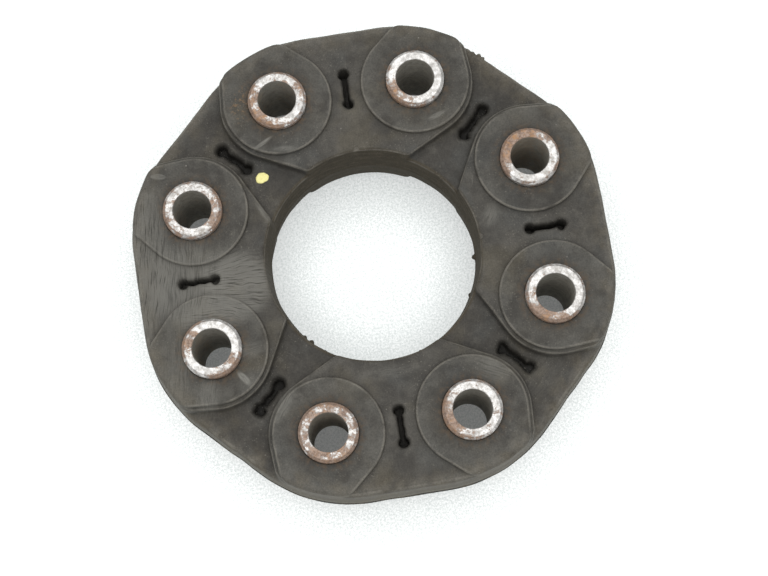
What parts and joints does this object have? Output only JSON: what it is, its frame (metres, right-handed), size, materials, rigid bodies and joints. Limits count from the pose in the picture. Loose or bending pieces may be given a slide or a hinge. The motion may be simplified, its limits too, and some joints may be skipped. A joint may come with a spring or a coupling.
{
  "type": "driveshaft flex disc",
  "caption": "Rubber flex disc for a driveshaft, with steel bolt bushes on one circle round a large centre hole and cord packs moulded in between them.",
  "frame": {"origin": "centre of the disc, on the plane of the bushes' bottom ends", "axes": "+Z along the disc's axis, and +X through the middle of a thick span"},
  "size_m": [0.1498, 0.1498, 0.0346],
  "materials": {
    "rubber": "matte",
    "bush_steel": "bare and partly rusty",
    "collar_steel": "satin",
    "cord": "matte"
  },
  "bodies": {
    "root": {"rubber_body": "rubber", "bush_1": "bush_steel", "bush_2": "bush_steel", "bush_3": "bush_steel", "bush_4": "bush_steel", "bush_5": "bush_steel", "bush_6": "bush_steel", "bush_7": "bush_steel", "bush_8": "bush_steel", "collar_1_top_outer": "collar_steel", "collar_1_top_inner": "collar_steel", "collar_1_bottom_inner": "collar_steel", "collar_1_bottom_outer": "collar_steel", "collar_2_top_outer": "collar_steel", "collar_2_top_inner": "collar_steel", "collar_2_bottom_inner": "collar_steel", "collar_2_bottom_outer": "collar_steel", "collar_3_top_outer": "collar_steel", "collar_3_top_inner": "collar_steel", "collar_3_bottom_inner": "collar_steel", "collar_3_bottom_outer": "collar_steel", "collar_4_top_outer": "collar_steel", "collar_4_top_inner": "collar_steel", "collar_4_bottom_inner": "collar_steel", "collar_4_bottom_outer": "collar_steel", "collar_5_top_outer": "collar_steel", "collar_5_top_inner": "collar_steel", "collar_5_bottom_inner": "collar_steel", "collar_5_bottom_outer": "collar_steel", "collar_6_top_outer": "collar_steel", "collar_6_top_inner": "collar_steel", "collar_6_bottom_inner": "collar_steel", "collar_6_bottom_outer": "collar_steel", "collar_7_top_outer": "collar_steel", "collar_7_top_inner": "collar_steel", "collar_7_bottom_inner": "collar_steel", "collar_7_bottom_outer": "collar_steel", "collar_8_top_outer": "collar_steel", "collar_8_top_inner": "collar_steel", "collar_8_bottom_inner": "collar_steel", "collar_8_bottom_outer": "collar_steel", "drive_cord_1_top": "cord", "drive_cord_1_bottom": "cord", "drive_cord_2_top": "cord", "drive_cord_2_bottom": "cord", "drive_cord_3_top": "cord", "drive_cord_3_bottom": "cord", "drive_cord_4_top": "cord", "drive_cord_4_bottom": "cord", "coast_cord_1": "cord", "coast_cord_2": "cord", "coast_cord_3": "cord", "coast_cord_4": "cord"}
  },
  "joints": []
}
